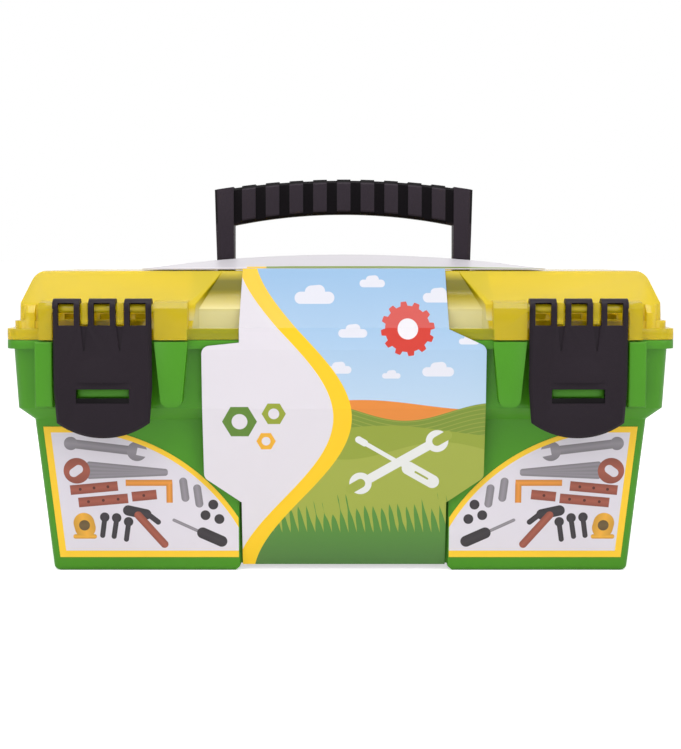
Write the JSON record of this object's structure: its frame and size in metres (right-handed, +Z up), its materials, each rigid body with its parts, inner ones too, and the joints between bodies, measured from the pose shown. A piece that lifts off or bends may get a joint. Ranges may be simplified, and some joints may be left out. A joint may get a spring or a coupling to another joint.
{
  "type": "toy tool box",
  "caption": "Child's plastic tool box with a hinged see-through lid, hook latches, a folding carrying handle and a printed card sleeve.",
  "frame": {"origin": "on the ground below the middle of the closed box", "axes": "+Z up, -Y to the front with the latches, +X to the right seen from the front"},
  "size_m": [0.33, 0.1814, 0.2004],
  "materials": {
    "base_green": "moulded, satin gloss",
    "lid_yellow": "see-through moulded",
    "black_plastic": "moulded, low sheen",
    "pin_steel": "drawn wire",
    "printed_card": "coated printed card",
    "printed_label": "printed label"
  },
  "bodies": {
    "base": {"base": "base_green", "hinge_pin_left": "pin_steel", "hinge_pin_right": "pin_steel", "sleeve_back": "printed_card", "label_left": "printed_label", "label_right": "printed_label"},
    "lid": {"lid": "lid_yellow", "sleeve_front": "printed_card"},
    "latch_left": {"latch_left": "black_plastic"},
    "latch_right": {"latch_right": "black_plastic"},
    "handle": {"handle": "black_plastic"}
  },
  "joints": [
    {"name": "lid_hinge", "type": "hinge", "parent": "base", "child": "lid", "pos_m": [0, 0.087, 0.1185], "axis": [-1, 0, 0], "range_deg": [0, 105]},
    {"name": "latch_left_hinge", "type": "hinge", "parent": "lid", "child": "latch_left", "pos_m": [-0.1162, -0.0844, 0.1343], "axis": [-1, 0, 0], "range_deg": [0, 110]},
    {"name": "latch_right_hinge", "type": "hinge", "parent": "lid", "child": "latch_right", "pos_m": [0.1162, -0.0844, 0.1343], "axis": [-1, 0, 0], "range_deg": [0, 110]},
    {"name": "handle_fold", "type": "hinge", "parent": "lid", "child": "handle", "pos_m": [0.0017, -0.008, 0.1485], "axis": [-1, 0, 0], "range_deg": [0, 90]}
  ]
}
